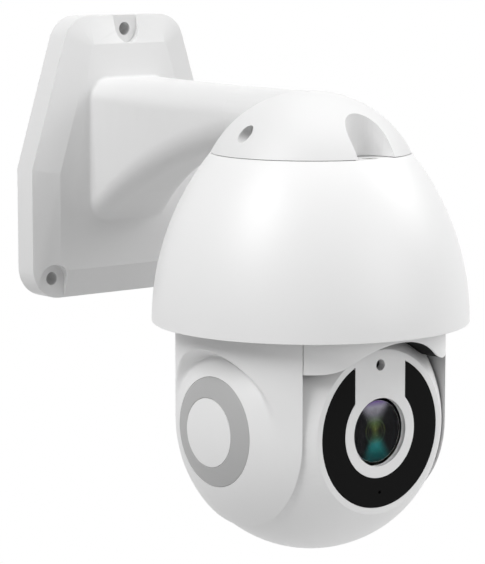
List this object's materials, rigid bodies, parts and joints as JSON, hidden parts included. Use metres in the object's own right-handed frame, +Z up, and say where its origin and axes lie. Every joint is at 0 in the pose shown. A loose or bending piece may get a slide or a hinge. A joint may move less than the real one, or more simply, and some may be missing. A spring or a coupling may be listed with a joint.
{
  "type": "ptz camera",
  "caption": "Wall-mounted pan and tilt camera: ball-shaped eye between two cheeks under a bell-shaped hood on a bracket arm.",
  "frame": {"origin": "middle of the bracket's back, on the wall", "axes": "+Z up, -Y out of the wall in the direction of the arm and the lens, +X to the right as seen looking along +Y"},
  "size_m": [0.125, 0.1945, 0.207],
  "materials": {
    "bracket_white": "cast aluminium under white powder coat, fine satin",
    "white_shell": "white moulded plastic, smooth satin",
    "grey_trim": "mid grey moulded plastic",
    "black_rubber": "black rubber",
    "grey_rubber": "dark grey silicone",
    "steel": "zinc plated",
    "motor_steel": "plated steel can",
    "black_plastic": "black moulded plastic",
    "acetal": "natural acetal",
    "circuit_board": "green solder mask",
    "smoked_panel": "black panel that lets infrared through",
    "clear_window": "coated clear window",
    "lamp_lens": "clear epoxy",
    "black_metal": "black anodised",
    "coated_glass": "lens glass with an anti-reflection coating"
  },
  "bodies": {
    "mount": {"wall_bracket": "bracket_white", "cable_grommet": "black_rubber", "hood": "white_shell", "hood_seal": "grey_rubber", "grub_screws": "steel", "hood_screws": "steel", "chassis": "black_plastic", "pan_bush": "acetal", "pan_motor": "motor_steel", "pan_motor_screws": "steel", "main_board": "circuit_board", "board_screws": "steel"},
    "pan_head": {"yoke": "white_shell", "arch_lip": "black_rubber", "left_cheek": "white_shell", "right_cheek": "white_shell", "left_ear_ring": "grey_trim", "right_ear_ring": "grey_trim", "left_ear_cap": "white_shell", "right_ear_cap": "white_shell", "cheek_screws": "steel", "left_trunnion": "steel", "right_trunnion": "steel", "trunnion_screws": "steel", "pan_spindle": "acetal", "spindle_screws": "steel", "pan_gear": "acetal", "gear_screws": "steel", "pan_circlip": "steel", "tilt_gear": "acetal"},
    "pan_drive": {"pan_pinion": "acetal", "pan_motor_shaft": "steel"},
    "eye": {"eye_front": "white_shell", "eye_rear": "white_shell", "eye_seal": "grey_rubber", "eye_screws": "steel", "tilt_bushes": "acetal", "light_panel": "smoked_panel", "lens_window": "clear_window", "led_board": "circuit_board", "lamps": "lamp_lens", "light_sensor": "lamp_lens", "microphone": "steel", "lens_barrel": "black_metal", "lens_elements": "coated_glass", "lens_holder": "black_plastic", "image_sensor": "coated_glass", "sensor_board": "circuit_board", "sensor_screws": "steel", "tilt_motor": "motor_steel", "tilt_motor_screws": "steel"},
    "tilt_drive": {"tilt_pinion": "acetal", "tilt_motor_shaft": "steel"},
    "filter_carriage": {"filter_slide": "black_plastic", "filters": "coated_glass"}
  },
  "joints": [
    {"name": "pan", "type": "hinge", "parent": "mount", "child": "pan_head", "pos_m": [0, -0.132, 0], "axis": [0, 0, 1], "range_deg": [-177.5, 177.5]},
    {"name": "tilt", "type": "hinge", "parent": "pan_head", "child": "eye", "pos_m": [0, -0.132, -0.096], "axis": [1, 0, 0], "range_deg": [-15, 90]},
    {"name": "pan_pinion_spin", "type": "hinge", "parent": "mount", "child": "pan_drive", "pos_m": [0, -0.096, 0], "axis": [0, 0, 1], "range_deg": [-890, 890]},
    {"name": "tilt_pinion_spin", "type": "hinge", "parent": "eye", "child": "tilt_drive", "pos_m": [0, -0.1374, -0.07262], "axis": [1, 0, 0], "range_deg": [-46, 271]},
    {"name": "filter_change", "type": "slide", "parent": "eye", "child": "filter_carriage", "axis": [1, 0, 0], "range_m": [0, 0.008]}
  ],
  "couplings": [
    {"joint": "pan_pinion_spin", "follows": "pan", "ratio": -5},
    {"joint": "tilt_pinion_spin", "follows": "tilt", "ratio": 3}
  ]
}
